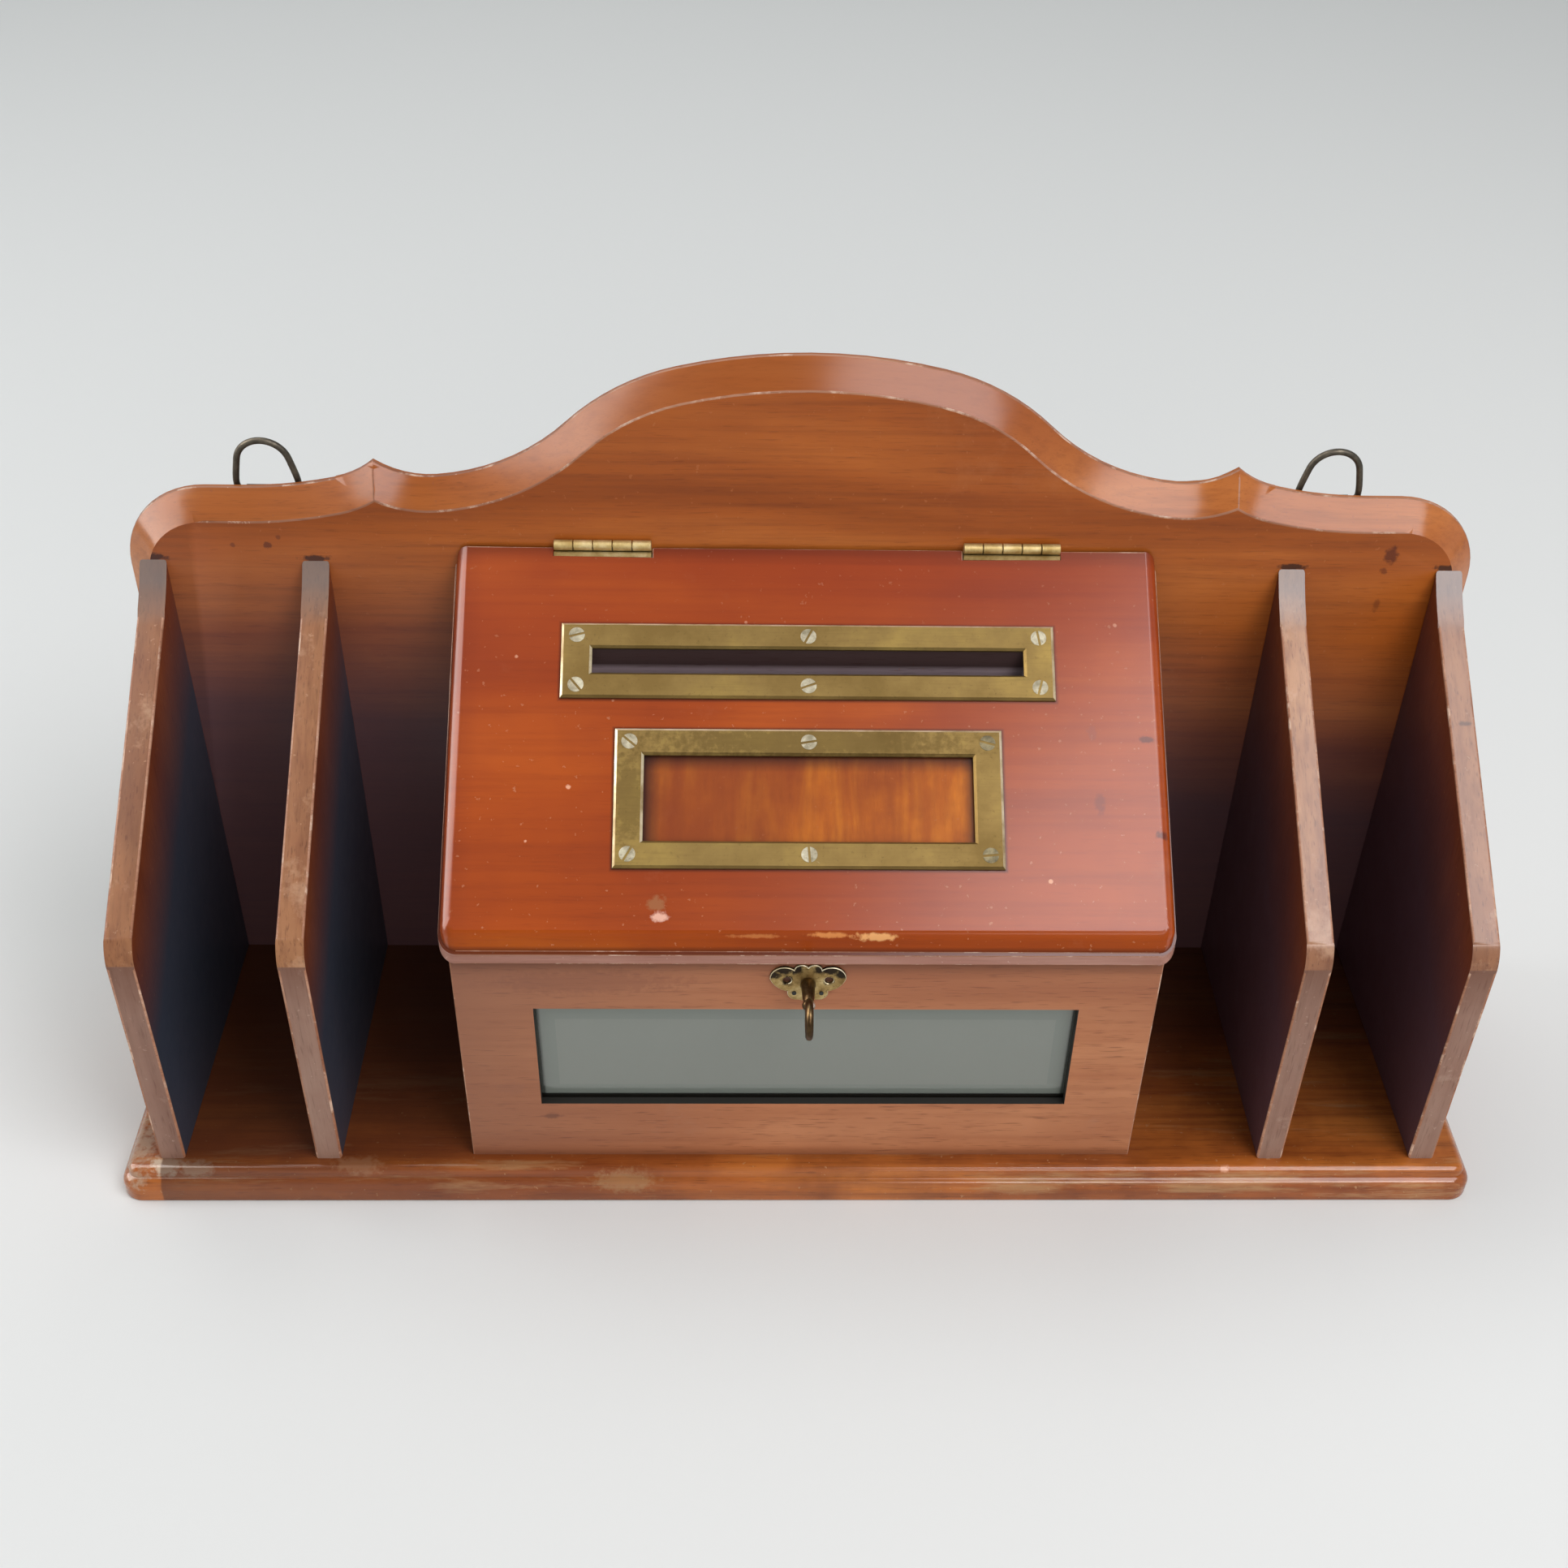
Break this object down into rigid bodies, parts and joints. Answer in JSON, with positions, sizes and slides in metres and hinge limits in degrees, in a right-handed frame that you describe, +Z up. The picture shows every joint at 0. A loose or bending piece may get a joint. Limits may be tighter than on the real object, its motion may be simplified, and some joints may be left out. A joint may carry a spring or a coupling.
{
  "type": "desk letter box",
  "caption": "Wooden desk letter box with a glazed front, sloping lid with brass letter slot and card frame, open racks each side and a shaped back board with hanging rings.",
  "frame": {"origin": "centre of the base's flat underside", "axes": "+X to the right seen from the front, +Y towards the back board, +Z up"},
  "size_m": [0.46, 0.1436, 0.2514],
  "materials": {
    "mahogany_board": "glossy French polish, worn",
    "mahogany_dark": "glossy French polish, worn edges",
    "mahogany_lid": "glossy French polish, reddish",
    "aged_brass": "aged, unlacquered",
    "old_steel": "dull, tarnished",
    "glass": "clear bevelled plate"
  },
  "bodies": {
    "carcase": {"base_board": "mahogany_dark", "back_board": "mahogany_board", "outer_divider_left": "mahogany_board", "outer_divider_right": "mahogany_board", "inner_divider_left": "mahogany_board", "inner_divider_right": "mahogany_board", "box_side_left": "mahogany_board", "box_side_right": "mahogany_board", "box_front": "mahogany_board", "glazing_bead_top": "mahogany_board", "glazing_bead_bottom": "mahogany_board", "glazing_bead_left": "mahogany_board", "glazing_bead_right": "mahogany_board", "hinge_board_leaf_left": "aged_brass", "hinge_board_leaf_right": "aged_brass", "keyhole_plate": "aged_brass", "keyhole_plate_pins": "aged_brass", "lock_case": "aged_brass", "lock_cover": "aged_brass", "hinge_board_screws": "aged_brass", "lock_screws": "aged_brass", "hinge_pin_left": "old_steel", "hinge_pin_right": "old_steel", "ring_strap_left": "old_steel", "ring_strap_right": "old_steel", "strap_screws": "old_steel", "window_glass": "glass"},
    "lid": {"lid_board": "mahogany_lid", "slot_frame": "aged_brass", "slot_frame_screws": "aged_brass", "card_frame": "aged_brass", "card_frame_screws": "aged_brass", "hinge_lid_leaf_left": "aged_brass", "hinge_lid_leaf_right": "aged_brass", "hinge_lid_screws": "aged_brass", "keep_plate": "aged_brass", "keep_screws": "aged_brass"},
    "key": {"key": "old_steel"},
    "lock_bolt": {"lock_bolt": "old_steel"},
    "ring_left": {"ring_left": "old_steel"},
    "ring_right": {"ring_right": "old_steel"}
  },
  "joints": [
    {"name": "lid_hinge", "type": "hinge", "parent": "carcase", "child": "lid", "pos_m": [0, 0.0505, 0.18938], "axis": [-1, 0, 0], "range_deg": [0, 118]},
    {"name": "bolt_slide", "type": "slide", "parent": "carcase", "child": "lock_bolt", "axis": [0, 0, 1], "range_m": [0, 0.0045]},
    {"name": "key_turn", "type": "hinge", "parent": "carcase", "child": "key", "pos_m": [0, -0.0528, 0.0941], "axis": [0, 1, 0], "range_deg": [0, 180]},
    {"name": "ring_left_swing", "type": "hinge", "parent": "carcase", "child": "ring_left", "pos_m": [-0.1744, 0.06463, 0.2002], "axis": [-1, 0, 0], "range_deg": [0, 182]},
    {"name": "ring_right_swing", "type": "hinge", "parent": "carcase", "child": "ring_right", "pos_m": [0.1704, 0.06463, 0.2002], "axis": [-1, 0, 0], "range_deg": [0, 182]}
  ],
  "couplings": [
    {"joint": "key_turn", "follows": "bolt_slide", "rad_per_m": 698.1}
  ]
}
